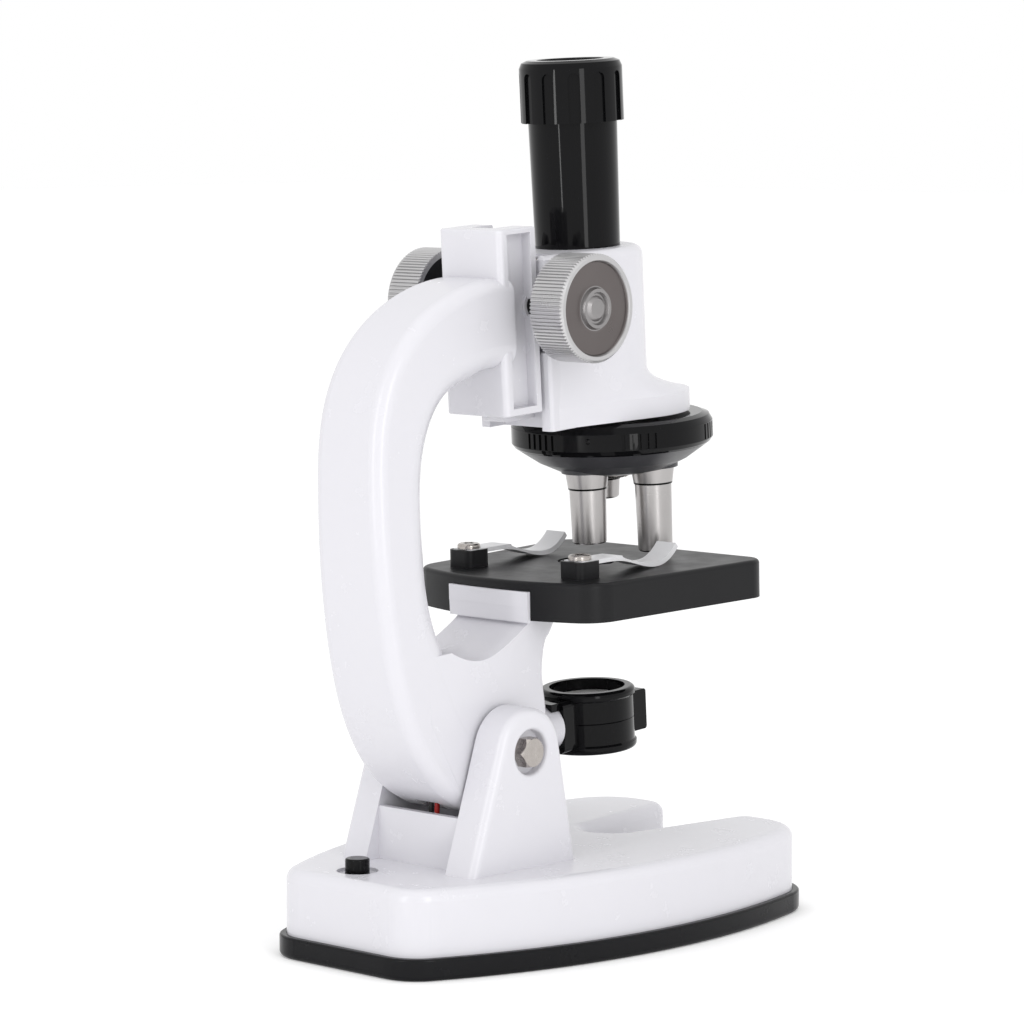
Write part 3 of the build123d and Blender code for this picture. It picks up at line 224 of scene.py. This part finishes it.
def plastic(name):
    """Injection-moulded plastic: faint flow shading, uneven gloss and a fine grain."""
    look = PLASTICS[name]
    finish = Finish(name)
    finish.set(IOR=PLASTIC_IOR, Specular_IOR_Level=look.specular)
    finish.paint(finish.noise(**FLOW_NOISE), (look.dark, look.light))
    finish.rough(finish.noise(**SMUDGE_NOISE), look.gloss)
    finish.bump(finish.noise(look.grain_scale, GRAIN_DETAIL), look.grain_mm)
    return finish.material


def turned_metal():
    """Turned metal: fine rings round the barrel and a soft sheen."""
    finish = Finish("turned_metal")
    wear = finish.noise(**BARREL_NOISE)
    finish.set(Metallic=1.0)
    finish.paint(wear, TURNED_COLOURS)
    finish.rough(finish.noise(**TURNED_NOISE), TURNED_GLOSS)
    finish.bump(wear, TURNED_BUMP_MM)
    return finish.material


def collar_metal_with_painted_shade():
    """The same turned metal, with painted shade in a band at each collar's lower edge, where an undercut
    would be.
    """
    finish = Finish("collar_metal_with_painted_shade")
    wear = finish.noise(**BARREL_NOISE)
    finish.set(Metallic=1.0)
    metal = finish.blend_colours(wear, *TURNED_COLOURS)
    shade = finish.blend_colours(wear, *PAINTED_UNDERCUT_SHADE_COLOURS)
    up = Vector(joint_record("head_slide")["axis"]).normalized()
    lowest = min(up.dot(vertex.co) for vertex in NODES["objective_collars"].data.vertices)
    rise = finish.node("VectorMath", operation="DOT_PRODUCT")
    rise.inputs[1].default_value = up
    finish.link(finish.place, rise.inputs[0])
    # painted shade: dark from the collars' lowest point up the band height, fading out just above
    undercut_shade_mask = finish.spread(rise.outputs["Value"], 1.0, 0.0, lowest + PAINTED_SHADE_BAND_HEIGHT,
                         lowest + PAINTED_SHADE_BAND_FADE * PAINTED_SHADE_BAND_HEIGHT)
    finish.colour(finish.mix(undercut_shade_mask, metal, shade))
    finish.rough(wear, TURNED_GLOSS)
    finish.bump(wear, TURNED_BUMP_MM)
    return finish.material


def knob_plating_with_painted_shade():
    """Bright plating on the ribs and rim, with painted shade on the dished face and lighter painted shade on
    the hub inside it.
    """
    finish = Finish("knob_plating_with_painted_shade")
    cloud = finish.noise(**CLOUD_NOISE)
    finish.set(Metallic=1.0)
    bright = finish.blend_colours(cloud, *KNOB_BRIGHT)
    # darker copies of the same plating, as painted shade on the dished face and on the hub
    dark = finish.blend_colours(cloud, *KNOB_DISH_PAINTED_SHADE)
    hub_shade_colour = finish.blend_colours(cloud, *KNOB_HUB_PAINTED_SHADE)

    split = finish.node("SeparateXYZ")
    finish.link(finish.place, split.inputs["Vector"])
    reach = finish.node("CombineXYZ")
    finish.link(split.outputs["Y"], reach.inputs["Y"])
    finish.link(split.outputs["Z"], reach.inputs["Z"])
    axle = joint_record("focus_turn")["pos_m"]
    distance = finish.node("VectorMath", operation="DISTANCE")
    finish.link(reach.outputs["Vector"], distance.inputs[0])
    distance.inputs[1].default_value = (0, axle[1], axle[2])
    radius = distance.outputs["Value"]
    outward = finish.node("Math", operation="ABSOLUTE")
    finish.link(split.outputs["X"], outward.inputs[0])

    face_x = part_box("focus_knob_left")[1][0] - KNOB_FACE_DEPTH
    front = finish.spread(outward.outputs["Value"], 0.0, 1.0, face_x - KNOB_FRONT_EDGE, face_x)
    past_ring = finish.spread(radius, 0.0, 1.0, KNOB_RING, KNOB_RING + KNOB_EDGE)
    inside_ring = finish.spread(radius, 1.0, 0.0, KNOB_RING, KNOB_RING + KNOB_EDGE)
    inside_rim = finish.spread(radius, 1.0, 0.0, KNOB_DISH - KNOB_EDGE, KNOB_DISH)
    dish = finish.multiply(finish.multiply(past_ring, inside_rim), front)
    hub = finish.multiply(inside_ring, front)
    finish.colour(finish.mix(dish, finish.mix(hub, bright, hub_shade_colour), dark))
    finish.rough(cloud, KNOB_GLOSS)
    finish.bump(finish.noise(**FLECK_NOISE), KNOB_BUMP_MM)
    return finish.material


def nickel_plate():
    """Plated screws, springs and contacts, with uneven wear."""
    finish = Finish("nickel_plate")
    wear = finish.noise(**PLATING_NOISE)
    finish.set(Metallic=1.0)
    finish.paint(wear, NICKEL_COLOURS)
    finish.rough(wear, NICKEL_GLOSS)
    finish.bump(wear, NICKEL_BUMP_MM)
    return finish.material


def lens_glass():
    finish = Finish("lens_glass")
    film = finish.noise(**FILM_NOISE)
    finish.set(Transmission_Weight=1.0, IOR=GLASS_IOR)
    finish.paint(film, GLASS_COLOURS)
    finish.rough(film, GLASS_GLOSS)
    return finish.material


def silvered_mirror():
    finish = Finish("silvered_mirror")
    haze = finish.noise(**HAZE_NOISE)
    finish.set(Metallic=1.0)
    finish.paint(haze, MIRROR_COLOURS)
    finish.rough(haze, MIRROR_GLOSS)
    return finish.material


# ------------------------------------------------------------------ finishes by piece

def dress(material, *names):
    for name in names:
        slots = NODES[name].data.materials
        slots.clear()
        slots.append(material)


def dress_all():
    dress(plastic("white_abs"), "base_casing", "arm_shell_right", "arm_shell_left", "head_housing",
          "focus_rail")
    dress(plastic("clip_white"), "stage_clip_right", "stage_clip_left")
    dress(plastic("black_gloss"), "eyepiece_tube", "eyepiece_cap", "lamp_upper_shell", "lamp_lower_shell",
          "power_button", "draw_tube", "turret_ring")
    dress(plastic("black_soft_gloss"), "bottom_cover", "battery_door")
    dress(plastic("black_satin"), "stage_table", "knob_core_left", "knob_core_right", "field_stop",
          "switch_holder", "power_switch", "eye_lens_retainer")
    dress(plastic("dome_satin"), "turret_dome")
    dress(knob_plating_with_painted_shade(), "focus_knob_left", "focus_knob_right")
    dress(turned_metal(), "objective_low", "objective_medium", "objective_high")
    dress(collar_metal_with_painted_shade(), "objective_collars")
    dress(nickel_plate(), "pivot_bolt", "pivot_nut", "clip_screws", "arm_screws", "base_screws",
          "battery_door_screw", "stage_screws", "focus_rail_screws", "turret_screw", "lamp_pivot_screw",
          "focus_axle", "detent_ball", "detent_spring", "button_spring", "battery_contacts")
    dress(plastic("natural_nylon"), "focus_pinion", "pivot_washers")
    dress(plastic("cell_jacket"), "batteries")
    dress(lens_glass(), "eye_lens", "field_lens", "objective_lenses")
    dress(silvered_mirror(), "lamp_mirror")
    dress(plastic("diffuser_white"), "lamp_diffuser", "lamp_led")
    dress(plastic("circuit_green"), "lamp_board")
    dress(plastic("lead_red"), "arm_lead_red", "base_lead_red")
    dress(plastic("lead_black"), "arm_lead_black", "base_lead_black")


# ------------------------------------------------------------------ floor, light and camera

def add_to_scene(name, data):
    made = bpy.data.objects.new(name, data)
    bpy.context.scene.collection.objects.link(made)
    return made


def make_floor():
    mesh = bpy.data.meshes.new("floor")
    corners = [(x * FLOOR_HALF, y * FLOOR_HALF, 0) for x, y in ((-1, -1), (1, -1), (1, 1), (-1, 1))]
    mesh.from_pydata(corners, [], [(0, 1, 2, 3)])
    floor = add_to_scene("floor", mesh)
    finish = Finish("pale_floor")
    finish.paint(finish.noise(FLOOR_NOISE_SCALE), FLOOR_COLOURS)
    finish.set(Roughness=FLOOR_ROUGHNESS, Specular_IOR_Level=FLOOR_SPECULAR, Emission_Color=WHITE,
               Emission_Strength=FLOOR_GLOW)
    mesh.materials.append(finish.material)


def face(thing, direction):
    thing.rotation_euler = direction.to_track_quat("-Z", "Y").to_euler()


def make_softbox(box):
    """An area light: its bearing is turned from the camera's, to the right where positive."""
    lamp = bpy.data.lights.new(box.name, "AREA")
    lamp.shape = "RECTANGLE"
    lamp.size = box.width
    lamp.size_y = box.length
    lamp.energy = box.watts
    holder = add_to_scene(box.name, lamp)
    bearing = radians(CAMERA_YAW + box.turn)
    holder.location = (-box.distance * sin(bearing), box.distance * cos(bearing), box.height)
    holder.visible_camera = False
    face(holder, Vector(OBJECT_MIDDLE) - holder.location)


def make_light():
    world = bpy.data.worlds.new("studio")
    bpy.context.scene.world = world
    world.use_nodes = True
    background = world.node_tree.nodes["Background"]
    background.inputs["Color"].default_value = WHITE
    background.inputs["Strength"].default_value = WORLD_STRENGTH
    for box in SOFTBOXES:
        make_softbox(box)


def make_camera():
    data = bpy.data.cameras.new("camera")
    data.lens = LENS_MM
    data.sensor_width = SENSOR_MM
    data.clip_start = CLIP_START
    camera = add_to_scene("camera", data)
    camera.location = CAMERA_PLACE
    yaw = radians(CAMERA_YAW)
    pitch = radians(CAMERA_PITCH)
    face(camera, Vector((sin(yaw) * cos(pitch), -cos(yaw) * cos(pitch), -sin(pitch))))
    bpy.context.scene.camera = camera


dress_all()
make_floor()
make_light()
make_camera()
bpy.context.scene.view_settings.view_transform = "Standard"
